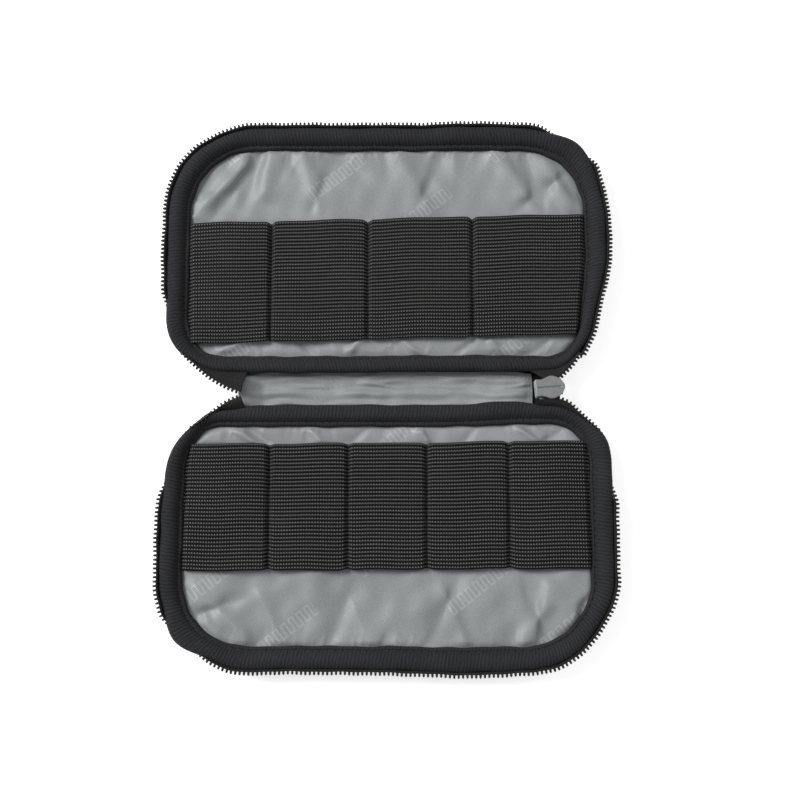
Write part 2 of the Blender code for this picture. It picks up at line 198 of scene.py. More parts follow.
class Outline:
    """The sewn outline of the far half at the edge of its cover, by length round it."""

    def __init__(self):
        w, f, s = HALF_WIDTH, FRONT, SPINE_EDGE
        rf, rs = FRONT_RADIUS, SPINE_RADIUS
        quarter = math.pi / 2
        corners = (
            (w - rs, s + rs, rs, -quarter),
            (w - rf, f - rf, rf, 0.0),
            (rf - w, f - rf, rf, quarter),
            (rs - w, s + rs, rs, 2 * quarter),
        )
        rows = [np.array([[0.0, s, 0.0, -1.0]])]
        for cx, cy, radius, start in corners:
            angle = np.linspace(start, start + quarter, 200)
            nx, ny = np.cos(angle), np.sin(angle)
            rows.append(np.stack([cx + radius * nx, cy + radius * ny, nx, ny], axis=1))
        rows.append(rows[0])
        self.table = np.vstack(rows)
        self.along = lengths(self.table[:, :2])
        self.length = self.along[-1]
        self.rim_start = w - rs + rs * (quarter - CORNER_ANGLE)
        self.rim_stop = self.length - self.rim_start

    def at(self, s):
        """x, y and outward normal at lengths s."""
        s = np.mod(s, self.length)
        x, y, nx, ny = (np.interp(s, self.along, column) for column in self.table.T)
        size = np.hypot(nx, ny)
        return x, y, nx / size, ny / size

    def points(self, s, offset, height, side):
        """Points of one half at lengths s, moved outwards by an offset and up to a height."""
        x, y, nx, ny = self.at(s)
        parts = np.broadcast_arrays(x + nx * offset, side * (y + ny * offset), height)
        return np.stack(parts, axis=-1)

    def half_width_at(self, y, offset):
        """Half of the outline's width at height y of the far half, moved out by offset."""
        w, f, s = HALF_WIDTH + offset, FRONT + offset, SPINE_EDGE - offset
        rf, rs = FRONT_RADIUS + offset, SPINE_RADIUS + offset
        front = w - rf + np.sqrt(np.maximum(rf**2 - np.maximum(y - (f - rf), 0) ** 2, 0))
        spine = w - rs + np.sqrt(np.maximum(rs**2 - np.maximum((s + rs) - y, 0) ** 2, 0))
        return np.where(y > (f + s) / 2, front, spine)

    def depth(self, x, y):
        """Distance inwards from the outline, negative outside."""
        def corner(radius, cy, up):
            cx = HALF_WIDTH - radius
            dx = np.maximum(np.abs(x) - cx, 0)
            dy = np.maximum((y - cy) * up, 0)
            inside = np.minimum(HALF_WIDTH - np.abs(x), np.where(up > 0, FRONT - y, y - SPINE_EDGE))
            return np.where((dx > 0) & (dy > 0), radius - np.hypot(dx, dy), inside)
        front = corner(FRONT_RADIUS, FRONT - FRONT_RADIUS, 1)
        spine = corner(SPINE_RADIUS, SPINE_EDGE + SPINE_RADIUS, -1)
        return np.minimum(front, spine)


OUTLINE = Outline()


def nearness(x, y, centre, reach):
    """1 at a centre given in millimetres, 0 at its reach and less beyond."""
    return 1 - np.hypot(x - centre[0] * MM, y - centre[1] * MM) / (reach * MM)


def laid(points, half):
    """Shifts points of a half as the soft pouch lies, so its outline isn't a perfect one."""
    moved = points.copy()
    x, y = points[..., 0], points[..., 1]
    rim_share = 0.35 + 0.65 * smooth(1 - OUTLINE.depth(x, SIDES[half] * y) / (8 * MM))
    for name, centre, reach, shift in LAY:
        if name == half:
            share = smooth(nearness(x, y, centre, reach)) * rim_share
            moved[..., 0] += share * shift[0] * MM
            moved[..., 1] += share * shift[1] * MM
    return moved


def tuck(x, y, half):
    """1 where the coil is tucked under the binding, 0 where it stands free."""
    share = np.zeros_like(x)
    for name, centre, reach in TUCKS:
        if name == half:
            share = np.maximum(share, smooth(1.7 * nearness(x, y, centre, reach)))
    return share


# ---------------------------------------------------------------- meshes
def finish_mesh(name, verts, faces, finish, uv=None):
    mesh = bpy.data.meshes.new(name)
    mesh.from_pydata(verts, [], faces)
    if uv is not None:
        layer = mesh.uv_layers.new(name="weave")
        layer.data.foreach_set("uv", np.asarray(uv, np.float32).ravel())
    work = bmesh.new()
    work.from_mesh(mesh)
    bmesh.ops.recalc_face_normals(work, faces=work.faces)
    work.to_mesh(mesh)
    work.free()
    mesh.shade_smooth()
    mesh.materials.append(finish)
    piece = bpy.data.objects.new(name, mesh)
    bpy.context.scene.collection.objects.link(piece)
    return piece


def grid_piece(name, points, finish, along=None, across=None, wrap_rows=False, wrap_cols=False,
               caps=False):
    """A grid of points (rows, columns, 3) as a mesh, with along and across as its weave map."""
    rows, cols = points.shape[:2]
    row_edges = rows if wrap_rows else rows - 1
    col_edges = cols if wrap_cols else cols - 1
    i, j = (grid.ravel() for grid in np.meshgrid(range(row_edges), range(col_edges), indexing="ij"))
    i2, j2 = (i + 1) % rows, (j + 1) % cols
    faces = np.stack([i * cols + j, i * cols + j2, i2 * cols + j2, i2 * cols + j], axis=1).tolist()
    along = np.linspace(0, 1, row_edges + 1) if along is None else along
    across = np.linspace(0, 1, col_edges + 1) if across is None else across
    u = np.stack([along[i], along[i], along[i + 1], along[i + 1]], axis=1)
    v = np.stack([across[j], across[j + 1], across[j + 1], across[j]], axis=1)
    uv = np.stack([u, v], axis=2).reshape(-1, 2)
    if caps:
        ring = range(cols)
        faces.append(list(ring))
        faces.append([(rows - 1) * cols + k for k in reversed(ring)])
        first = [(along[0], across[k]) for k in ring]
        last = [(along[rows - 1], across[k]) for k in reversed(ring)]
        uv = np.vstack([uv, first, last])
    return finish_mesh(name, points.reshape(-1, 3).tolist(), faces, finish, uv)


def tube(name, path, radius, finish, sides=6, closed=False):
    """A round wire along a path, its cross-section carried on from point to point."""
    tangent = tangents(path)
    if closed:
        tangent = np.roll(path, -1, 0) - np.roll(path, 1, 0)
        tangent /= np.linalg.norm(tangent, axis=1)[:, None]
    upright = abs(tangent[0, 2]) > 0.9
    current = np.cross(tangent[0], [0.0, 1.0, 0.0] if upright else [0.0, 0.0, 1.0])
    side = np.zeros_like(path)
    for k, t in enumerate(tangent):
        current = current - t * (current @ t)
        current /= np.linalg.norm(current)
        side[k] = current
    other = np.cross(tangent, side)
    angle = np.arange(sides) * 2 * np.pi / sides
    points = (path[:, None, :] + radius * np.cos(angle)[None, :, None] * side[:, None, :]
              + radius * np.sin(angle)[None, :, None] * other[:, None, :])
    return grid_piece(name, points, finish, lengths(np.vstack([path, path[:1]])),
                      np.linspace(0, 2 * np.pi * radius, sides + 1), wrap_rows=closed,
                      wrap_cols=True, caps=not closed)


def stitches(name, line, finish, pitch, radius=0.16 * MM, up=None):
    """A row of short thread bulges along a line; up is the surface normal at each point."""
    up = np.tile([0.0, 0.0, 1.0], (len(line), 1)) if up is None else up
    along = lengths(line)
    count = max(1, int(along[-1] / pitch))
    sides, rings = 6, 6
    stations = np.linspace(-0.5, 0.5, rings) * pitch * STITCH_SHARE
    thick = radius * np.sqrt(np.maximum(1 - (np.linspace(-1, 1, rings)) ** 4, 0.05))
    angle = np.arange(sides) * np.pi / 3
    verts, faces = [], []
    for centre in (np.arange(count) + 0.5) * along[-1] / count:
        start = len(verts)
        for station, size in zip(stations, thick):
            s = centre + station
            middle, normal = read_off(s, along, line), read_off(s, along, up)
            ahead = read_off(s + 0.1 * MM, along, line) - read_off(s - 0.1 * MM, along, line)
            ahead /= np.linalg.norm(ahead) + 1e-12
            side = np.cross(ahead, normal)
            verts += [tuple(middle + size * (math.cos(a) * side + math.sin(a) * normal)) for a in angle]
        for ring in range(rings - 1):
            for k in range(sides):
                a, b = start + ring * sides + k, start + ring * sides + (k + 1) % sides
                faces.append((a, b, b + sides, a + sides))
        last = start + (rings - 1) * sides
        faces.append(tuple(start + k for k in range(sides)))
        faces.append(tuple(last + k for k in reversed(range(sides))))
    return finish_mesh(name, verts, faces, finish)


# ---------------------------------------------------------------- materials
class Value:
    """A number inside a material: sums and products of it add Math nodes."""

    def __init__(self, shader, socket):
        self.shader = shader
        self.socket = socket

    def __add__(self, other):
        return self.shader.math("ADD", self, other)

    def __sub__(self, other):
        return self.shader.math("SUBTRACT", self, other)

    def __rsub__(self, other):
        return self.shader.math("SUBTRACT", other, self)

    def __mul__(self, other):
        return self.shader.math("MULTIPLY", self, other)

    def __truediv__(self, other):
        return self.shader.math("DIVIDE", self, other)

    def __abs__(self):
        return self.shader.math("ABSOLUTE", self)

    def floor(self):
        return self.shader.math("FLOOR", self)

    def fract(self):
        return self.shader.math("FRACT", self)


class Shader:
    """A Principled material whose nodes are added one call at a time."""

    def __init__(self, name, roughness, metallic=0.0, **constants):
        self.material = bpy.data.materials.new(name)
        self.material.use_nodes = True
        self.tree = self.material.node_tree
        self.shader = self.tree.nodes["Principled BSDF"]
        self.shader.inputs["Roughness"].default_value = roughness
        self.shader.inputs["Metallic"].default_value = metallic
        for socket, value in constants.items():
            self.shader.inputs[socket.replace("_", " ")].default_value = value

    def node(self, kind, *values, **settings):
        """Adds a node with these settings and with values on its first inputs."""
        made = self.tree.nodes.new("ShaderNode" + kind)
        for key, value in settings.items():
            setattr(made, key, value)
        for value, socket in zip(values, made.inputs):
            self.link(value, socket)
        return made

    def link(self, value, socket):
        if isinstance(value, Value):
            self.tree.links.new(value.socket, socket)
        else:
            socket.default_value = value

    def math(self, operation, *values):
        return Value(self, self.node("Math", *values, operation=operation).outputs[0])

    def parts(self, vector):
        return [Value(self, part) for part in self.node("SeparateXYZ", vector).outputs]

    def uv(self, u_pitch, v_pitch):
        """The weave map's along and across, counted in pitches."""
        u, v, _ = self.parts(Value(self, self.node("UVMap", uv_map="weave").outputs[0]))
        return u * (1 / u_pitch), v * (1 / v_pitch)

    def place(self):
        return Value(self, self.node("TexCoord").outputs["Object"])

    def noise(self, scale, detail=3.0):
        made = self.node("TexNoise", self.place())
        made.inputs["Scale"].default_value = scale
        made.inputs["Detail"].default_value = detail
        return Value(self, made.outputs[0])

    def triangle(self, value):
        """0 to 1 to 0 over each unit of value."""
        return self.math("PINGPONG", value, 0.5) * 2.0

    def band(self, value, low, high):
        """0 below low, 1 above high, smooth between."""
        made = self.node("MapRange", value, low, high, interpolation_type="SMOOTHSTEP")
        return Value(self, made.outputs[0])

    def colour(self, value, *stops):
        """Colours the surface by a value, between stops of position and colour."""
        made = self.node("ValToRGB", value)
        elements = made.color_ramp.elements
        while len(elements) < len(stops):
            elements.new(0.5)
        for element, (position, colour) in zip(elements, stops):
            element.position = position
            element.color = (*colour, 1.0)
        self.tree.links.new(made.outputs[0], self.shader.inputs["Base Color"])

    def rough(self, value):
        self.link(value, self.shader.inputs["Roughness"])

    def bump(self, *layers):
        """Height layers as (value, strength, distance), one over another; gives the material."""
        below = None
        for value, strength, distance in layers:
            made = self.node("Bump")
            made.inputs["Strength"].default_value = strength
            made.inputs["Distance"].default_value = distance
            self.link(value, made.inputs["Height"])
            if below:
                self.tree.links.new(below, made.inputs["Normal"])
            below = made.outputs[0]
        self.tree.links.new(below, self.shader.inputs["Normal"])
        return self.material


MOTIF_ANGLE = math.radians(38)


def meander(s, x, y):
    """Slanted strips of a short meander of upright and lying strokes: 1 on its lines, else 0."""
    c, w = math.cos(MOTIF_ANGLE), math.sin(MOTIF_ANGLE)
    row = (y * c - x * w) / 0.031
    step = (x * c + y * w) / 0.047 + row.floor() * 0.37
    in_row = row.fract() * 31.0 - 15.5
    in_step = step.fract() * 47.0 - 23.5
    cell = in_step / 1.75
    level = (s.math("PINGPONG", (cell - 0.5).floor(), 1.0) - 0.5) * 4.6
    upright = 1.0 - s.band(abs(cell.fract() - 0.5), 0.15, 0.24)
    lying = 1.0 - s.band(abs(in_row - level), 0.28, 0.42)
    inside = 1.0 - s.band(abs(in_step), 12.9, 13.2)
    tall = 1.0 - s.band(abs(in_row), 2.55, 2.75)
    return s.math("MAXIMUM", upright, lying) * inside * tall


def satin(name, motif, lift):
    """Cool grey lining satin: fine diagonal twill and a faint woven-in meander; lift shifts the whole
    tone, and a higher lift is painted light.
    """
    s = Shader(name, 0.40, Sheen_Weight=0.05, Sheen_Roughness=0.35, Specular_IOR_Level=0.45)
    x, y, _ = s.parts(s.place())
    twill = s.triangle((x + y * 1.35) * 780.0) * 0.6 + s.triangle((x - y * 0.8) * 980.0) * 0.4
    grain = s.noise(1500.0, 2.0)
    mask = meander(s, x, y)
    # lift raises or lowers the whole tone; the spine strip's higher lift is painted light.
    tone = s.noise(38.0) * 0.42 + twill * 0.34 + mask * motif + (grain * 0.30 + lift)
    s.colour(tone, (0.15, (0.150, 0.162, 0.165)), (0.48, (0.232, 0.248, 0.252)),
             (0.85, (0.360, 0.376, 0.380)))
    s.rough(0.46 - mask * 0.12)
    return s.bump((twill, 0.7, 0.00010), (grain, 0.35, 0.00007), (mask, 0.2, 0.00004))


def knit(name, dark, light):
    """Black knitted binding: ribs across its length, small loops and a little fuzz."""
    s = Shader(name, 0.82, Sheen_Weight=0.03, Sheen_Roughness=0.5, Specular_IOR_Level=0.2)
    u, v = s.uv(RIB_PITCH, 0.75 * MM)
    ribs = s.triangle(u + v * 0.09 + s.noise(420.0, 2.0) * 1.1)
    loops = s.triangle(v + (u * 2.0).floor() * 0.5)
    fuzz = s.noise(3200.0)
    tone = loops * 0.22 + fuzz * 0.38 + s.noise(90.0, 2.0) * 0.15 + ribs * 0.25
    s.colour(tone, (0.25, dark), (0.80, light))
    return s.bump((ribs, 0.5, 0.00010), (loops, 0.45, 0.00008), (fuzz, 0.5, 0.00008))


def elastic():
    """Woven elastic: dark rows with a lighter yarn that zigzags, brighter at its turns."""
    s = Shader("woven_elastic_look", 0.78, Sheen_Weight=0.02, Sheen_Roughness=0.5,
               Specular_IOR_Level=0.15)
    u, v = s.uv(1.02 * MM, ROW_PITCH)
    zig = (s.triangle(u) - 0.5) * 0.52
    yarn = 1.0 - s.band(abs((v + zig + 8.0).fract() - 0.5), 0.07, 0.19)
    thread = s.triangle(u * 4.0)
    fuzz = s.noise(3000.0)
    strength = fuzz * 0.35 + s.math("POWER", s.triangle(u), 1.6) * 1.15
    tone = yarn * strength * 0.8 + s.noise(60.0, 2.0) * 0.10
    s.colour(tone, (0.06, (0.0020, 0.0020, 0.0020)), (0.30, (0.026, 0.026, 0.026)),
             (0.85, (0.235, 0.235, 0.233)))
    return s.bump((yarn, 0.6, 0.00016), (thread, 0.25, 0.00006), (fuzz, 0.4, 0.00006))


def woven(name, dark, light, pitch):
    """Plain-woven black cloth in the piece's own weave map."""
    s = Shader(name, 0.85, Sheen_Weight=0.02, Sheen_Roughness=0.5, Specular_IOR_Level=0.2)
    u, v = s.uv(pitch, pitch)
    check = s.math("PINGPONG", u.floor() + v.floor(), 1.0)
    height = check * s.triangle(u) + (1.0 - check) * s.triangle(v)
    fuzz = s.noise(2400.0)
    tone = height * 0.4 + fuzz * 0.35 + s.noise(45.0, 2.0) * 0.25
    s.colour(tone, (0.2, dark), (0.85, light))
    return s.bump((height, 0.6, 0.00012), (fuzz, 0.35, 0.00005))


def plain(name, dark, light, roughness, metallic=0.0, grain=1800.0, depth=0.00003, **constants):
    """Moulded, cast or drawn material: slow colour change, worn roughness and a fine grain."""
    s = Shader(name, roughness, metallic, **constants)
    fine = s.noise(grain, 4.0)
    slow = s.noise(240.0)
    s.colour(fine * 0.45 + slow * 0.55, (0.30, dark), (0.70, light))
    s.rough(slow * 0.16 + (roughness - 0.08))
    return s.bump((fine, 0.35, depth))


LOOKS = {
    "lining": satin("lining_satin_look", 0.20, -0.02),
    # The spine strip is the same satin with a higher lift: painted light for the extra light its tilt
    # catches.
    "strip": satin("spine_satin_painted_lighter_look", 0.06, 0.03),
    "binding": knit("knit_binding_look", (0.0035, 0.0035, 0.004), (0.038, 0.039, 0.042)),
    "elastic": elastic(),
    "tape": woven("zipper_tape_look", (0.006, 0.0055, 0.0055), (0.026, 0.0245, 0.0240), 0.55 * MM),
    "cover": woven("cover_fabric_look", (0.007, 0.007, 0.0075), (0.026, 0.026, 0.028), 0.62 * MM),
    "coil": plain("nylon_coil_look", (0.003, 0.003, 0.003), (0.008, 0.008, 0.008), 0.42),
    "thread": plain("black_thread_look", (0.010, 0.010, 0.010), (0.030, 0.030, 0.030), 0.7),
    "grey_thread": plain("grey_thread_look", (0.34, 0.36, 0.36), (0.48, 0.50, 0.50), 0.6),
    "paint": plain("painted_slider_look", (0.185, 0.200, 0.200), (0.250, 0.268, 0.266), 0.40, 0.25,
                   grain=900.0, depth=0.00002, Coat_Weight=0.25, Coat_Roughness=0.3),
    "red": plain("red_mark_look", (0.36, 0.03, 0.06), (0.46, 0.05, 0.09), 0.5),
    "rubber": plain("pull_rubber_look", (0.010, 0.010, 0.010), (0.022, 0.022, 0.022), 0.6),
    "foam": plain("foam_look", (0.05, 0.05, 0.05), (0.12, 0.12, 0.12), 0.95, depth=0.0002),
}


def declare(piece, body, slot, *nodes):
    """A piece rides on one body and stands for CAD nodes, which it hides; slot is not used."""
    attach(piece, body)
    if nodes:
        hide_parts(*nodes)
    return piece


def thicken(piece, thickness):
    """Gives a sheet its thickness, away from the side that is seen."""
    solid = piece.modifiers.new("Cloth", "SOLIDIFY")
    solid.thickness = thickness
    solid.offset = -1.0


# ---------------------------------------------------------------- outer cover
SHELL_SECTION = ((0.25, 4.75), (0.7, 4.1), (0.8, 3.0), (0.55, 1.9), (-0.2, 0.9), (-1.4, 0.25),
                 (-3.0, 0.03), (-5.0, 0.0), (-8.0, 0.0))


def outer_cover(half):
    """Black woven shell: it rises round the padding to the rim seam and is flat underneath."""
    side = SIDES[half]
    s = np.arange(420) * OUTLINE.length / 420
    rings = [OUTLINE.points(s, offset, height, side)
             for offset, height in open_spline(SHELL_SECTION, 22) * MM]
    centre = np.array([0.0, side * (FRONT + SPINE_EDGE) / 2, 0.0])
    last = rings[-1]
    for share in (0.93, 0.86, 0.78, 0.69, 0.59, 0.48, 0.36, 0.24, 0.12, 0.04):
        rings.append(centre + (last - centre) * share)
    points = laid(np.stack(rings), half)
    x, y = points[..., 0], points[..., 1]
    depth = smooth((OUTLINE.depth(x, side * y) - 3 * MM) / (9 * MM))
    dents = cloud(x, y, 5 if half == "top" else 8, 38 * MM)
    points[..., 2] += depth * 0.14 * MM * (1.0 + dents)
    piece = grid_piece(f"{half}_cover_shell", points, LOOKS["cover"], wrap_cols=True)
    planar_map(piece)
    fill = bmesh.new()
    fill.from_mesh(piece.data)
    edges = [e for e in fill.edges if e.is_boundary and abs(e.verts[0].co.x) < 8 * MM
             and abs(e.verts[0].co.y - centre[1]) < 6 * MM and e.verts[0].co.z < 1 * MM]
    bmesh.ops.holes_fill(fill, edges=edges)
    fill.to_mesh(piece.data)
    fill.free()
    thicken(piece, 0.45 * MM)
    declare(piece, half, "cover_fabric", f"{half}_outer_cover")
    ring = np.linspace(0, OUTLINE.length, 900)
    line = OUTLINE.points(ring, 0.80 * MM, 3.2 * MM, side)
    _, _, nx, ny = OUTLINE.at(ring)
    seam = stitches(f"{half}_cover_stitches", laid(line, half), LOOKS["thread"], 3.0 * MM,
                    up=np.stack([nx, side * ny, 0 * nx], axis=1))
    declare(seam, half, "cover_fabric")


def planar_map(piece):
    """Weave map straight from x and y, with height added so that walls keep their weave."""
    mesh = piece.data
    co = np.zeros(len(mesh.vertices) * 3, np.float32)
    mesh.vertices.foreach_get("co", co)
    index = np.zeros(len(mesh.loops), np.int32)
    mesh.loops.foreach_get("vertex_index", index)
    flat = co.reshape(-1, 3)[index]
    mesh.uv_layers["weave"].data.foreach_set("uv", (flat[:, :2] + flat[:, 2:3]).ravel())


def shrunk(ring, centre, share):
    """A level ring drawn in towards a centre."""
    inner = centre + (ring - centre) * share
    inner[:, 2] = ring[:, 2]
    return inner


def foam_pad(half):
    """Padding sheet between the shell and the lining, as laid as they are."""
    low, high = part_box(f"{half}_foam_pad")
    side = SIDES[half]
    inset = high.x - HALF_WIDTH
    thick = (high.z - low.z) / MM
    s = np.arange(240) * OUTLINE.length / 240
    centre = np.array([0.0, side * (FRONT + SPINE_EDGE) / 2, 0.0])
    section = ((-0.7, 0.0), (-0.2, 0.25), (0.0, 0.8), (0.0, thick - 0.8), (-0.2, thick - 0.25),
               (-0.7, thick))
    rings = [OUTLINE.points(s, inset + offset * MM, low.z + height * MM, side)
             for offset, height in section]
    for share in (0.8, 0.5, 0.2):
        for ring, at in ((rings[0], 0), (rings[-1], len(rings))):
            rings.insert(at, shrunk(ring, centre, share))
    piece = grid_piece(f"{half}_padding", laid(np.stack(rings), half), LOOKS["foam"],
                       wrap_cols=True, caps=True)
    declare(piece, half, "foam", f"{half}_foam_pad")


# ---------------------------------------------------------------- lining
def pleats(x, y, half):
    """Short folds that run in from the binding, where the lining is gathered into its seam."""
    random = np.random.RandomState(31 if half == "top" else 57)
    height = np.zeros_like(x)

    def crease(along, inwards, place, slope, width, length):
        offset = along - place * MM - slope * inwards
        return np.exp(-(offset / width) ** 2) * np.exp(-np.maximum(inwards, 0) / length)

    edges = (
        (x, FRONT - 5 * MM - y, 62, 1.0, 17),
        (x, y - SPINE_EDGE - 4 * MM, 62, 0.7, 17),
        (y - 55 * MM, HALF_WIDTH - 5 * MM - x, 36, 0.8, 9),
        (y - 55 * MM, HALF_WIDTH - 5 * MM + x, 36, 0.8, 9),
    )
    for along, inwards, reach, strength, count in edges:
        for place in random.uniform(-reach, reach, 2 * count):
            slope = random.uniform(-0.5, 0.5)
            width = random.uniform(0.45, 0.9) * MM
            height += 0.55 * MM * crease(along, inwards, place, slope, width, 2.4 * MM)
        for place in np.linspace(-reach, reach, count) + random.uniform(-3, 3, count):
            slope = random.uniform(-0.9, 0.9)
            width = random.uniform(0.9, 2.4) * MM
            length = random.uniform(5, 15) * MM
            tall = strength * random.uniform(0.25, 0.75) * MM * random.choice([1, 1, -0.8])
            spread = width * (1 + 0.8 * np.clip(inwards / length, 0, 2))
            height += tall * crease(along, inwards, place, slope, spread, length)
    return height


def fold(x, y, start, stop, width, height):
    """One long soft fold between two points in millimetres."""
    a, b = np.array(start) * MM, np.array(stop) * MM
    d = b - a
    size = np.hypot(*d)
    t = ((x - a[0]) * d[0] + (y - a[1]) * d[1]) / size**2
    off = ((x - a[0]) * -d[1] + (y - a[1]) * d[0]) / size
    taper = smooth((t + 0.15) / 0.35) * smooth((1.15 - t) / 0.35)
    return 2.5 * height * MM * taper * np.exp(-(np.abs(off) / (width * MM)) ** 1.6)


# Long folds: start, stop, width and height in millimetres. Negative heights are creases.
FOLDS = {
    "top": (
        ((-71, 70), (-52, 90), 3.0, 0.9), ((-66, 68), (-48, 92), 2.0, -0.8),
        ((-49, 94), (-55, 72), 2.6, -0.9), ((-44, 94), (-47, 74), 3.4, 0.6),
        ((-33, 94), (-26, 70), 2.6, 0.7), ((-18, 94), (-30, 68), 2.4, -0.5),
        ((3, 94), (16, 70), 3.2, 0.6), ((22, 94), (12, 72), 2.4, -0.6),
        ((40, 94), (55, 72), 3.0, 0.8), ((52, 93), (60, 70), 2.0, -0.8),
        ((60, 90), (70, 70), 2.4, 0.9), ((68, 84), (48, 69), 2.2, -0.7),
        ((-64, 14), (-52, 20), 1.5, 0.6), ((-26, 12), (-34, 20), 1.3, -0.6),
        ((-16, 12), (-10, 20), 1.6, 0.6), ((14, 12), (5, 20), 1.3, 0.5),
        ((24, 12), (33, 20), 1.5, -0.6), ((44, 12), (38, 20), 1.4, 0.6),
        ((52, 12), (62, 20), 1.4, -0.6),
    ),
    "base": (
        ((-71, -70), (-50, -92), 2.6, 0.8), ((-73, -84), (-52, -76), 2.4, -0.8),
        ((-60, -95), (-70, -74), 2.2, 0.7), ((-36, -95), (-48, -72), 3.0, 0.6),
        ((-22, -95), (-12, -70), 2.6, -0.6), ((-4, -95), (-16, -72), 3.4, 0.6),
        ((14, -95), (26, -70), 2.6, -0.6), ((30, -95), (20, -72), 2.8, 0.7),
        ((48, -95), (62, -72), 2.6, 0.8), ((60, -94), (50, -70), 2.2, -0.8),
        ((70, -88), (58, -70), 2.6, 0.8), ((73, -76), (66, -94), 2.0, -0.7),
        ((-60, -12), (-48, -20), 1.3, 0.7), ((-54, -12), (-43, -20), 1.1, -0.7),
        ((-30, -12), (-24, -20), 1.5, 0.5), ((-6, -12), (-14, -20), 1.4, -0.6),
        ((10, -12), (16, -20), 1.6, 0.6), ((34, -12), (28, -20), 1.4, -0.6),
        ((46, -12), (56, -20), 1.3, 0.7), ((66, -14), (58, -20), 1.3, -0.6),
    ),
}


def lining(half):
    """Satin sheet over the padding, puckered into the rim seam and flat under the band."""
    side = SIDES[half]
    inset = 1.1 * MM
    rows, cols = 150, 250
    v = (1 - np.cos(np.linspace(0, np.pi, rows))) / 2 * 0.35 + np.linspace(0, 1, rows) * 0.65
    # It ends further in by the spine, so that it stays covered as the roll draws back.
    drawn = LEAN[half] + PRESSED - 0.7 * MM
    y = SPINE_EDGE + inset + drawn + (FRONT - SPINE_EDGE - 2 * inset - drawn) * v
    width = OUTLINE.half_width_at(y, -inset - drawn * (1 - smooth((y - SPINE_EDGE) / (22 * MM))))
    x = width[:, None] * np.linspace(-1, 1, cols)[None, :]
    y = np.repeat(y[:, None], cols, axis=1)
    free = smooth((OUTLINE.depth(x, y) - 3.5 * MM) / (4 * MM))
    height = pleats(x, y, half)
    for long_fold in FOLDS[half]:
        height += fold(x, side * y, *long_fold)
    seed = 3 if half == "top" else 4
    height += 0.26 * MM * cloud(x, y, seed, 13 * MM)
    height += 0.40 * MM * (1 + cloud(x, y, seed + 10, 34 * MM))
    above, below = y - BAND_LOW.y + 1 * MM, BAND_HIGH.y + 1 * MM - y
    height = height * (1 - 0.85 * (smooth(above / (3 * MM)) * smooth(below / (3 * MM))))
    low, tall = -0.5 * MM, 2.7 * MM
    height = low + (tall - low) * 0.5 * (1 + np.tanh(2 * (height - 0.3 * MM) / (tall - low) - 0.3))
    points = laid(np.stack([x, side * y, LINING_TOP + free * height], axis=2), half)
    piece = grid_piece(f"{half}_lining_cloth", points, LOOKS["lining"])
    thicken(piece, 0.22 * MM)
    declare(piece, half, "lining_satin", f"{half}_lining")


# ---------------------------------------------------------------- binding
RIM_SECTION = ((0.2, 4.6), (1.9, 5.2), (2.7, 6.6), (2.8, 8.2), (1.9, 9.4), (-0.4, 9.9), (-2.5, 9.2),
               (-3.7, 7.8), (-4.05, 7.1), (-4.4, 7.4), (-5.0, 7.3), (-5.5, 6.3), (-5.3, 5.0),
               (-3.0, 4.7))
SPINE_SECTION = ((0.2, 4.4), (1.0, 4.9), (1.35, 6.2), (1.15, 7.7), (0.3, 8.6), (-0.9, 8.8),
                 (-2.1, 8.2), (-3.0, 7.1), (-3.35, 6.7), (-3.7, 6.9), (-4.3, 6.7), (-4.75, 5.9),
                 (-4.5, 5.0), (-2.5, 4.7))
GROOVE = (-3.35 * MM, 6.7 * MM)
SECTION_POINTS = 28
POINTS_PER_RIB = 5
# How far the roll leans over the spine while the pouch lies open, and how far it is pressed
# back from its sewn edge when the pouch is closed.
LEAN = {"base": 2.0 * MM, "top": 0.4 * MM}
PRESSED = 0.9 * MM


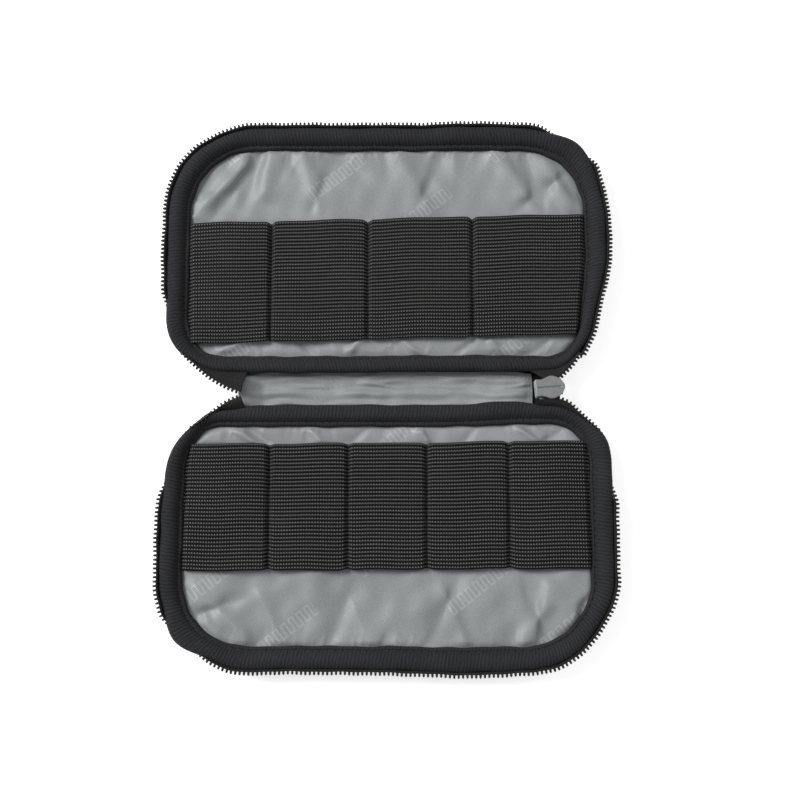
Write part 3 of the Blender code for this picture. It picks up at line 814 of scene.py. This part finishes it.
def binding(half):
    """Ribbed knit binding rolled over the seam allowance, with a stitched groove inside."""
    side = SIDES[half]
    total = OUTLINE.length
    ribs = int(total / RIB_PITCH)
    stations = ribs * POINTS_PER_RIB
    s = np.arange(stations) * total / stations
    rim = closed_spline(RIM_SECTION, SECTION_POINTS) * MM
    low = closed_spline(SPINE_SECTION, SECTION_POINTS) * MM
    x, y, _, _ = OUTLINE.at(s)
    share = smooth((y - SPINE_EDGE) / (15 * MM))[:, None, None]
    profile = low[None] * (1 - share) + rim[None] * share
    seed = 71 if half == "top" else 91

    def swell(number, *wavelengths):
        wanted = [wavelength * MM for wavelength in wavelengths]
        return waves(s, seed + number, wanted, total)[:, None]

    # The rolls swell and wander a little along the rim.
    upper = smooth((profile[..., 1] - 5.5 * MM) / (3 * MM))
    inner = smooth((-3.4 * MM - profile[..., 0]) / (1.5 * MM))
    outer = smooth((profile[..., 0] + 1.0 * MM) / (2.0 * MM))
    profile[..., 1] += upper * 0.30 * MM * swell(0, 34, 21, 55)
    profile[..., 0] += inner * 0.32 * MM * swell(1, 19, 11, 31)
    profile[..., 0] += outer * 0.22 * MM * swell(2, 24, 15)
    tucked = tuck(x, side * y, half)[:, None]
    profile[..., 0] -= outer * tucked * 0.3 * MM
    profile[..., 1] += outer * tucked * 0.45 * MM
    leans = (1 - share[..., 0]) * smooth((60 * MM - np.abs(x)) / (14 * MM))[:, None]
    profile[..., 0] += outer * LEAN[half] * leans
    ahead = np.roll(profile, -1, 1) - np.roll(profile, 1, 1)
    normal = np.stack([ahead[..., 1], -ahead[..., 0]], axis=2)
    normal /= np.linalg.norm(normal, axis=2)[..., None] + 1e-12
    # Each rib stands along its slanted, wandering line over the roll.
    slant = np.linspace(0, 1.6, SECTION_POINTS)[None, :] + 0.35 * swell(3, 9, 14)
    phase = (s / total * ribs)[:, None] + slant
    lift = (np.abs(np.cos(np.pi * phase)) ** 0.7 - 0.6) * upper
    profile += normal * (lift * 0.07 * MM)[..., None]
    points = laid(OUTLINE.points(s[:, None], profile[..., 0], profile[..., 1], side), half)
    piece = grid_piece(f"{half}_rim_binding", points, LOOKS["binding"],
                       np.linspace(0, ribs * RIB_PITCH, stations + 1),
                       lengths(np.vstack([rim, rim[:1]])), wrap_rows=True, wrap_cols=True)
    declare(piece, half, "knit_binding", f"{half}_binding")
    groove = int(np.argmin(np.hypot(*(low - GROOVE).T)))
    line = points[::POINTS_PER_RIB, groove] + np.array([0, 0, 0.08 * MM])
    seam = stitches(f"{half}_binding_stitches", line, LOOKS["thread"], 2.8 * MM, 0.17 * MM)
    declare(seam, half, "knit_binding")
    # The roll and its stitches each get a mesh of their own.
    for drawn in (piece, seam):
        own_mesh(drawn)


# ---------------------------------------------------------------- elastic bands
def loop_rise(x, dividers):
    """0 on the seams, 1 along the loops' tops."""
    seams = np.concatenate([[-BAND_HIGH.x - 0.6 * MM], dividers, [BAND_HIGH.x + 0.6 * MM]])
    i = np.clip(np.searchsorted(seams, x) - 1, 0, len(seams) - 2)
    left, right = seams[i], seams[i + 1]
    t = np.abs((x - (left + right) / 2) / ((right - left) / 2))
    edge = (1 - t) * (right - left) / 2
    return 0.22 + 0.78 * smooth(edge / (1.7 * MM)) ** 0.6 * (1 - 0.12 * t**2)


def elastic_band(half):
    """One length of ribbed elastic, sewn down between its loops, with scalloped edges."""
    side = SIDES[half]
    dividers = np.array(DIVIDERS[half])
    width = BAND_HIGH.y - BAND_LOW.y
    rows = int(width / ROW_PITCH)
    across = 4 * rows + 1
    v = np.linspace(0, 1, across)
    length = 2 * (BAND_HIGH.x + 1.6 * MM)
    near = (-2.2, -1.8, -1.4, -1.1, -0.8, -0.5, -0.25, 0.0, 0.25, 0.5, 0.8, 1.1, 1.4, 1.8, 2.2)
    extra = [d + k * MM for d in dividers for k in near]
    x = np.concatenate([np.linspace(-length / 2, length / 2, 330), extra])
    x = np.unique(np.round(x, 6))
    rise = loop_rise(x, dividers)[:, None]
    near_seam = np.exp(-(np.min(np.abs(x[:, None] - dividers[None]), axis=1) / (1.5 * MM)) ** 2)
    seed = 7 if half == "top" else 9
    low_edge = BAND_LOW.y + 0.5 * near_seam * MM + 0.25 * MM * waves(x, seed, (47 * MM, 29 * MM))
    high_edge = (BAND_HIGH.y - 0.6 * near_seam * MM
                 + 0.25 * MM * waves(x, seed + 1, (38 * MM, 23 * MM)))
    y = low_edge[:, None] + (high_edge - low_edge)[:, None] * v[None, :]
    # Cords stand along the rows and thin out to the two edges.
    cord = np.abs(np.cos(np.pi * v * rows)) ** 0.8
    flat_edge = smooth((np.minimum(v, 1 - v) * rows - 0.1) / 0.35)
    soft_dip = 0.20 * MM * cloud(x[:, None] + 0 * y, y, seed + 3, 26 * MM)
    under = LINING_TOP + 0.15 * MM + LOOP_HEIGHT * rise + soft_dip * rise
    thick = (0.72 * MM + 0.13 * MM * (1 - cord)) * (0.35 + 0.65 * flat_edge)
    drawn_in = np.sign(x) * 1.0 * MM * smooth((np.abs(x) - 50 * MM) / (26 * MM))
    slant_x = x[:, None] - drawn_in[:, None] * (1 - v[None, :])
    plan_y = side * y + BAND_SLANT[half] * x[:, None]
    skip = np.linspace(across - 1, 0, 14).astype(int)
    upper = np.stack([slant_x, plan_y, under + thick[None, :]], axis=2)
    lower = np.stack([slant_x, plan_y, under], axis=2)[:, skip]
    points = laid(np.concatenate([upper, lower], axis=1), half)
    across_map = np.concatenate([v * rows * ROW_PITCH, rows * ROW_PITCH + (1 - v[skip]) * width, [0.0]])
    stretch = lengths(np.stack([x, under.mean(axis=1)], axis=1))
    piece = grid_piece(f"{half}_elastic_loops", points, LOOKS["elastic"], stretch, across_map,
                       wrap_cols=True, caps=True)
    declare(piece, half, "woven_elastic", f"{half}_elastic_band")
    for number, divider in enumerate(dividers, 1):
        column = int(np.argmin(np.abs(x - divider)))
        line = points[column, :across:2] + np.array([0, 0, 0.10 * MM])
        seam = stitches(f"{half}_loop_seam_{number}", line, LOOKS["thread"], 2.4 * MM, 0.20 * MM)
        declare(seam, half, "woven_elastic")


# ---------------------------------------------------------------- zipper
TAPE_SECTION = ((0.5, 4.3), (2.2, 4.9), (2.8, 6.6), (2.85, 8.6), (2.9, 9.7), (3.25, 10.1))
TUCKED_SECTION = ((0.5, 4.3), (1.5, 5.2), (1.7, 6.4), (1.5, 7.3), (1.3, 8.0), (1.2, 8.4))
TAPE_HALF_THICKNESS = 0.22 * MM
# The coil's place outwards and up from the sewn edge, free and tucked, in millimetres.
COIL_FREE = (3.7, 9.25)
COIL_TUCKED = (0.9, 8.4)
COIL_LEAN = math.radians(6)
COIL_REACH = 0.66 * MM
COIL_DEPTH = 0.38 * MM


def zipper_line(half):
    """Lengths round the outline between the spine corners, and how far the coil is tucked."""
    s = np.linspace(OUTLINE.rim_start, OUTLINE.rim_stop, 900)
    x, y, _, _ = OUTLINE.at(s)
    return s, tuck(x, SIDES[half] * y, half)


def coil_place(tucked):
    """How far outwards and up the coil lies."""
    return [(free * (1 - tucked) + under * tucked) * MM for free, under in zip(COIL_FREE, COIL_TUCKED)]


def rim_wander(s, half):
    return waves(s, 21 if half == "top" else 22, (17 * MM, 29 * MM, 9 * MM))


def tape_strip(name, outer, inner, along, finish):
    """A thin tape between an outer and an inner face, both (rows, columns, 3)."""
    points = np.concatenate([outer, inner[:, ::-1]], axis=1)
    across = lengths(np.vstack([points[0], points[0, :1]]))
    return grid_piece(name, points, finish, along, across, wrap_cols=True, caps=True)


def rim_tape(half):
    """The zipper's tape: it stands up from the rim seam and waves a little at its free edge."""
    s, tucked = zipper_line(half)
    share = tucked[:, None, None]
    section, pulled = (open_spline(knots, 9) * MM for knots in (TAPE_SECTION, TUCKED_SECTION))
    profile = section[None] * (1 - share) + pulled[None] * share
    climb = np.linspace(0, 1, 9)[None, :] ** 2
    profile[..., 0] += 0.22 * MM * rim_wander(s, half)[:, None] * climb
    ahead = np.gradient(profile, axis=1)
    normal = np.stack([ahead[..., 1], -ahead[..., 0]], axis=2)
    normal /= np.linalg.norm(normal, axis=2)[..., None]
    faces = []
    for shift in (TAPE_HALF_THICKNESS, -TAPE_HALF_THICKNESS):
        moved = profile + normal * shift
        face = OUTLINE.points(s[:, None], moved[..., 0], moved[..., 1], SIDES[half])
        faces.append(laid(face, half))
    piece = tape_strip(f"{half}_tape", *faces, s, LOOKS["tape"])
    declare(piece, half, "zipper_tape", f"{half}_zipper_tape")


def coil_wire(name, path, outwards):
    """A nylon coil: loops of wire round a path, flattened, with their heads facing outwards."""
    along = lengths(path)
    turn = np.arange(int(along[-1] / TOOTH_PITCH) * 16) / 16
    part = turn % 1
    # The wire steps to its next turn behind the teeth, so each tooth stands square to the tape.
    step = 0.5 * smooth(part / 0.2) + 0.5 * smooth((part - 0.8) / 0.2)
    s = (np.floor(turn) + step) * TOOTH_PITCH
    centre, out, tangent = (read_off(s, along, data) for data in (path, outwards, tangents(path)))
    out /= np.linalg.norm(out, axis=1)[:, None]
    up = np.cross(tangent, out)
    up *= np.sign(up[:, 2:3])
    e1 = out * math.cos(COIL_LEAN) + up * math.sin(COIL_LEAN)
    e2 = -out * math.sin(COIL_LEAN) + up * math.cos(COIL_LEAN)
    c, w = -np.cos(2 * np.pi * part), np.sin(2 * np.pi * part)
    wire = centre + e1 * (COIL_REACH * c)[:, None] + e2 * (COIL_DEPTH * w)[:, None]
    return tube(name, wire, WIRE_RADIUS, LOOKS["coil"])


def rim_coil(half):
    s, tucked = zipper_line(half)
    offset, height = coil_place(tucked)
    offset += 0.2 * MM * rim_wander(s, half)
    path = OUTLINE.points(s, offset, height, SIDES[half])
    _, _, nx, ny = OUTLINE.at(s)
    out = np.stack([nx, SIDES[half] * ny, 0 * nx], axis=1)
    piece = coil_wire(f"{half}_coil", laid(path, half), out)
    declare(piece, half, "nylon_coil", f"{half}_zipper_coil")


# Plan of each coil past the spine corners, in millimetres, ending at the end of the spine.
ENDS = {
    ("top", "left"): ((-72.3, 10.3), (-69.0, 7.4), (-65.0, 4.3), (-59.0, 1.0), (-54.0, -0.9)),
    ("top", "right"): ((71.0, 12.6), (69.0, 9.8), (66.4, 7.1), (63.5, 4.2), (61.0, 2.0)),
    ("base", "left"): ((-70.3, -13.0), (-67.0, -10.6), (-63.5, -7.6), (-59.2, -4.5), (-54.0, -2.3)),
    ("base", "right"): ((74.6, -11.6), (70.6, -7.9), (67.4, -4.9), (63.5, -3.2), (61.0, -2.2)),
}
SEAM_END = 52 * MM


def across_joint(piece, half, inner, outer):
    """Bakes a piece's placement into its mesh, without bending it; inner and outer are not used."""
    near, far = ((0, SIDES[half] * y, 0) for y in (inner, outer))
    if half == "base":
        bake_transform(piece)
    else:
        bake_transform(piece)


def tape_end(half, end):
    """The stretch of zipper that crosses from a spine corner to the end of the spine."""
    side = SIDES[half]
    s, tucked = zipper_line(half)
    first = 0 if end == "right" else -1
    offset, height = coil_place(tucked[first])
    start = laid(OUTLINE.points(s[[first]], offset, height, side), half)[0]
    knots = [start]
    for k, (x, y) in enumerate(ENDS[half, end], 1):
        share = k / len(ENDS[half, end])
        knots.append(np.array([x * MM, y * MM, start[2] + (8.9 * MM - start[2]) * share]))
    path = open_spline(knots, 90)
    out = np.cross(tangents(path), [0, 0, 1.0])
    middle = np.array([0.0, side * 0.05, 0.0])
    out *= np.sign(np.sum(out * (np.array([path[0, 0], 0, 0]) - middle), axis=1))[:, None]
    coil = coil_wire(f"{half}_coil_end_{end}", path, out)
    # The tape spans from the panel's edge, under the binding, to the coil.
    angle = np.linspace(-CORNER_ANGLE, -math.pi / 2, 30)
    reach = SPINE_RADIUS + 0.5 * MM
    arc = np.stack([HALF_WIDTH - SPINE_RADIUS + reach * np.cos(angle),
                    SPINE_EDGE + SPINE_RADIUS + reach * np.sin(angle)], axis=1)
    seam = open_spline(np.vstack([arc[::6], arc[-1:], [[SEAM_END, SPINE_EDGE - 0.5 * MM]]]), 90)
    sign = 1.0 if end == "right" else -1.0
    seam = laid(np.stack([sign * seam[:, 0], side * seam[:, 1], np.full(90, 6.4 * MM)], axis=1), half)
    edge = path.copy()
    edge[:, 2] += 1.0 * MM
    t = np.linspace(0, 1, 12)[None, :, None]
    sheet = seam[:, None] * (1 - t) + edge[:, None] * t
    bulge = np.sin(np.pi * t[..., 0]) * 1.2 * MM
    sheet[..., 2] += bulge
    sheet[..., 2] += 0.25 * MM * cloud(sheet[..., 0], sheet[..., 1], 33, 9 * MM) * bulge / MM
    lower = sheet - np.array([0, 0, 0.45 * MM])
    tape = tape_strip(f"{half}_tape_web_{end}", sheet, lower, lengths(edge), LOOKS["tape"])
    for piece, slot in ((coil, "nylon_coil"), (tape, "zipper_tape")):
        across_joint(piece, half, 4.8 * MM, 10.5 * MM)
    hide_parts(f"{half}_tape_end_{end}")


# ---------------------------------------------------------------- spine
# Wrinkles along the strip: place, width and height in millimetres, and seed.
WRINKLES = ((4.3, 1.5, 0.75, 61), (-0.6, 1.9, 0.95, 62), (-4.6, 1.3, 0.8, 63),
            (2.2, 0.7, 0.35, 64), (6.0, 0.7, 0.3, 65), (-6.2, 0.7, 0.3, 66))


def spine_strip():
    """Satin strip over the spine, wrinkled along its length, with a stitched right end."""
    cols, rows = 260, 64
    x = np.linspace(STRIP_LOW.x - 1.2 * MM, STRIP_HIGH.x + 0.4 * MM, cols)
    v = np.linspace(-1, 1, rows)[:, None]
    flare = smooth((-47 * MM - x) / (7 * MM)) + smooth((x - 48 * MM) / (6 * MM))
    y = (7.9 * MM - 0.6 * MM * flare)[None, :] * v
    xx = np.repeat(x[None, :], rows, axis=0)
    xx = xx + 0.5 * MM * v ** 2 * np.sign(xx) * -smooth((np.abs(xx) - 50 * MM) / (4 * MM))
    height = np.zeros_like(y)
    for place, width, tall, seed in WRINKLES:
        middle = place * MM + 0.9 * MM * waves(x, seed, (63 * MM, 34 * MM, 21 * MM))[None, :]
        strength = 0.55 + 0.45 * waves(x, seed + 20, (44 * MM, 27 * MM))[None, :]
        height += 1.9 * tall * MM * strength * np.exp(-((y - middle) / (width * MM)) ** 2)
    height += 0.12 * MM * cloud(xx, y, 67, 7 * MM)
    ends = smooth((xx - x[0]) / (6 * MM)) * smooth((x[-1] - xx) / (4 * MM))
    sewn = smooth((np.abs(v) - 0.8) / 0.2)
    z = STRIP_LOW.z + 0.25 * MM + height * (0.25 + 0.75 * ends) * (1 - sewn)
    # The left end climbs to the zipper's ends, which it is sewn to.
    z += 2.8 * MM * smooth((-46 * MM - xx) / (7 * MM)) * (1 - smooth((np.abs(v) - 0.7) / 0.3))
    points = np.stack([xx, y, z], axis=2)
    piece = grid_piece("spine_strip", points, LOOKS["strip"])
    thicken(piece, 0.35 * MM)
    declare(piece, "spine", "lining_satin", "spine_lining")
    column = points[6:-6, np.argmin(np.abs(x - (STRIP_HIGH.x - 1.3 * MM)))]
    row = points[int(rows * 0.86), (x > 40 * MM) & (x < STRIP_HIGH.x - 1.5 * MM)]
    pressed = [piece]
    for name, line in (("spine_end_stitches", column), ("spine_edge_stitches", row)):
        line = line + np.array([0, 0, 0.05 * MM])
        seam = stitches(name, line, LOOKS["grey_thread"], 1.9 * MM, 0.13 * MM)
        pressed.append(declare(seam, "spine", "lining_satin"))
    # The strip and its stitches each get a mesh of their own.
    for laid_down in pressed:
        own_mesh(laid_down)


def spine_cover():
    """Outer fabric of the spine: one cloth in two pieces, one for each half."""
    left, right = SPINE_CLOTH
    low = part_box("spine_cover")[0].z
    x = np.linspace(left, right, 60)[:, None]
    y = np.concatenate([np.linspace(0, FOLD_Y - 2 * MM, 8),
                        np.linspace(FOLD_Y - 1.4 * MM, SPINE_EDGE + 0.6 * MM, 9)])[None, :]
    z = low + 0.25 * MM + 0.12 * MM * cloud(x + 0 * y, y + 0 * x, 71, 22 * MM)
    z = np.where(y > FOLD_Y - 1.5 * MM, np.minimum(z, low + 0.1 * MM), z)
    for half, side in SIDES.items():
        top = np.stack([x + 0 * y, side * y + 0 * x, z], axis=2)
        piece = tape_strip(f"spine_cloth_{half}", top, top - np.array([0, 0, 0.4 * MM]),
                           np.linspace(0, right - left, 60), LOOKS["cover"])
        across_joint(piece, half, FOLD_Y - 1.6 * MM, FOLD_Y + 1.0 * MM)
        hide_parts("spine_cover")


# ---------------------------------------------------------------- slider and pull
PLATE_LENGTH = 11.0 * MM
PLATE_THICKNESS = 1.1 * MM
PLATE_BEVEL = 0.42 * MM
# Half of the plate's width along its length, tail to nose, in millimetres.
PLATE_WIDTHS = ((0.0, 3.0), (0.4, 3.3), (2.4, 3.2), (4.0, 3.7), (5.6, 4.3), (7.4, 4.1), (9.0, 3.2),
                (10.3, 1.9), (11.0, 0.7))


def turned(points):
    """The slider sits a little askew in its tape: turned about its tail and moved off centre."""
    angle = math.radians(4.5)
    dx, y = points[..., 0] - SLIDER_LOW.x, points[..., 1]
    moved = points.copy()
    moved[..., 0] = SLIDER_LOW.x + dx * math.cos(angle) - y * math.sin(angle)
    moved[..., 1] = dx * math.sin(angle) + y * math.cos(angle) + 0.35 * MM
    return moved


def slider_piece(name, rings, look="paint"):
    """A closed body of the slider, lofted through rings of points."""
    return grid_piece(name, turned(np.stack(rings)), LOOKS[look], wrap_cols=True, caps=True)


def slider_plate(name, low, high, groove):
    """One nosed plate, lofted from tail to nose, with rounded edges and an optional groove."""
    tail, nose = SLIDER_LOW.x, SLIDER_LOW.x + PLATE_LENGTH
    line = open_spline(np.array(PLATE_WIDTHS) * MM, 60)
    x, width = tail + line[:, :1], line[:, 1:]
    t = np.sort(np.concatenate([np.linspace(-1, 1, 33), [-0.09, -0.03, 0.03, 0.09]]))[None, :]
    y = width * t
    edge = np.minimum(width * (1 - np.abs(t)), np.minimum(x - tail, nose - x) * 0.9 + 0.02 * MM)
    inwards = np.clip(edge / PLATE_BEVEL, 0, 1)
    drop = PLATE_BEVEL * (1 - np.sqrt(np.clip(1 - (1 - inwards) ** 2, 0, 1)))
    upper = high - drop * 0.5
    if groove:
        run = smooth((x - tail - 0.6 * MM) / (0.8 * MM)) * smooth((nose - 1.0 * MM - x) / (0.8 * MM))
        crown = 0.10 * MM * (1 - t**2)
        upper = high - drop * 0.9 + crown - 0.45 * MM * run * np.exp(-(y / (0.26 * MM)) ** 2)
    lower = low + drop * 0.5
    top, bottom = (np.stack([x + 0 * y, y, z], axis=2) for z in (upper, lower))
    return slider_piece(name, np.concatenate([top, bottom[:, ::-1]], axis=1))


def slider():
    """Two plates joined by a wedge, with four rails, a mark, the bridge, the link and the tab."""
    tail, nose = SLIDER_LOW.x, SLIDER_HIGH.x
    gap_low, gap_high = SLIDER_LOW.z + PLATE_THICKNESS, SLIDER_HIGH.z - PLATE_THICKNESS
    body = [slider_plate("slider_inner_plate", gap_high, SLIDER_HIGH.z, True),
            slider_plate("slider_outer_plate", SLIDER_LOW.z, gap_low, False)]
    wedge = closed_spline([(nose - back * MM, y * MM) for back, y in
                           ((5.2, 0), (3.0, -1.0), (1.2, -0.8), (0.9, 0), (1.2, 0.8), (3.0, 1.0))], 24)
    heights = np.linspace(gap_low - 0.2 * MM, gap_high + 0.2 * MM, 4)
    body.append(slider_piece("slider_wedge", [np.column_stack([wedge, np.full(24, z)]) for z in heights]))
    for side, place in ((-1, "near"), (1, "far")):
        for low, high, name in ((gap_low - 0.1 * MM, gap_low + 0.55 * MM, "outer"),
                                (gap_high - 0.55 * MM, gap_high + 0.1 * MM, "inner")):
            rail = []
            for x in np.linspace(tail + 0.4 * MM, tail + 4.8 * MM, 8):
                y = side * (2.75 * MM + 0.5 * MM * smooth((x - tail - 2.6 * MM) / (2.2 * MM)))
                ring = closed_spline([(y - 0.3 * MM, low), (y + 0.3 * MM, low),
                                      (y + 0.3 * MM, high), (y - 0.3 * MM, high)], 12)
                rail.append(np.column_stack([np.full(12, x), ring]))
            body.append(slider_piece(f"slider_rail_{name}_{place}", rail))
    for piece in body:
        declare(piece, "slider", "painted_slider", "slider_body")
    angle = np.linspace(0, 2 * np.pi, 12, endpoint=False)
    rings = []
    for tilt in np.linspace(-1.4, 1.4, 7):
        ring = np.stack([0.55 * np.cos(angle) * math.cos(tilt), 0.40 * np.sin(angle) * math.cos(tilt),
                         np.full(12, 0.30 * math.sin(tilt))], axis=1)
        rings.append(ring * MM + [tail + 9.3 * MM, 2.75 * MM, gap_high + 0.55 * MM])
    declare(slider_piece("slider_red_mark", rings, "red"), "slider", "painted_slider")
    for node, look in (("slider_bridge", "paint"), ("pull_tab", "rubber")):
        soften(frame["nodes"][node], LOOKS[look])
    pull_link()


def pull_link():
    """A rounded wire ring from the bridge's pin to the tab's eye."""
    pin, eye = Vector(JOINTS["pull_swing"]), Vector(JOINTS["tab_swing"])
    reach = (eye - pin).length / MM
    quarter = ((-0.35, 0), (-0.1, 1.5), (0.6, 2.05))
    back = [(reach - a, b) for a, b in reversed(quarter)]
    half = [*quarter, (reach / 2, 2.1), *back]
    corners = half + [(a, -b) for a, b in reversed(half[1:-1])]
    corners = closed_spline(corners[-1:] + corners[:-1], 72) * MM
    path = np.array(pin) + corners[:, :1] * np.array((eye - pin).normalized())
    path[:, 1] += corners[:, 1]
    ring = tube("pull_link_wire", path, 0.55 * MM, LOOKS["paint"], sides=12, closed=True)
    declare(ring, "pull_link", "painted_slider", "pull_link")


def soften(node, finish):
    """A CAD piece kept as it is, with softened edges and its own finish."""
    node.data.materials.clear()
    node.data.materials.append(finish)
    weld = node.modifiers.new("Weld", "WELD")
    weld.merge_threshold = 0.00002
    bevel = node.modifiers.new("Soft edges", "BEVEL")
    bevel.width = 0.22 * MM
    bevel.segments = 3
    bevel.limit_method = "ANGLE"
    bevel.angle_limit = math.radians(40)
    bevel.harden_normals = False


# ---------------------------------------------------------------- camera, floor and lights
def camera():
    target = Vector((4.8 * MM, -2.4 * MM, 0.0))
    tilt = math.radians(8.5)
    distance = 0.468
    data = bpy.data.cameras.new("Camera")
    data.lens = 55.8
    data.clip_start = 0.01
    data.clip_end = 20
    made = bpy.data.objects.new("Camera", data)
    made.location = target + distance * Vector((0, -math.sin(tilt), math.cos(tilt)))
    made.rotation_euler = (tilt, 0, 0)
    bpy.context.scene.collection.objects.link(made)
    bpy.context.scene.camera = made


def floor():
    size, height = 2.5, -0.0004
    corners = [(x * size, y * size, height) for x, y in ((-1, -1), (1, -1), (1, 1), (-1, 1))]
    look = plain("floor_look", (0.93, 0.93, 0.93), (0.95, 0.95, 0.95), 0.8, grain=30.0, depth=0.0,
                 Emission_Strength=0.60, Emission_Color=(1.0, 1.0, 1.0, 1.0))
    finish_mesh("floor", corners, [(0, 1, 2, 3)], look)


def area_light(name, place, size, power):
    """A square light that faces the pouch."""
    data = bpy.data.lights.new(name, "AREA")
    data.shape = "SQUARE"
    data.size = size
    data.energy = power
    made = bpy.data.objects.new(name, data)
    made.location = place
    made.rotation_euler = (-Vector(place)).to_track_quat("-Z", "Y").to_euler()
    bpy.context.scene.collection.objects.link(made)


def lights():
    world = bpy.data.worlds.new("World")
    bpy.context.scene.world = world
    world.use_nodes = True
    background = world.node_tree.nodes["Background"]
    background.inputs[0].default_value = (1.0, 1.0, 1.0, 1.0)
    background.inputs[1].default_value = 0.30
    area_light("key", (-1.55, 0.75, 1.45), 1.0, 54.0)
    area_light("fill", (1.5, 0.3, 1.7), 1.5, 12.0)
    bpy.context.scene.view_settings.view_transform = "Standard"


for half_name in SIDES:
    outer_cover(half_name)
    lining(half_name)
    binding(half_name)
    elastic_band(half_name)
    rim_tape(half_name)
    rim_coil(half_name)
    for end_name in ("left", "right"):
        tape_end(half_name, end_name)
    foam_pad(half_name)
spine_strip()
spine_cover()
slider()
camera()
floor()
lights()
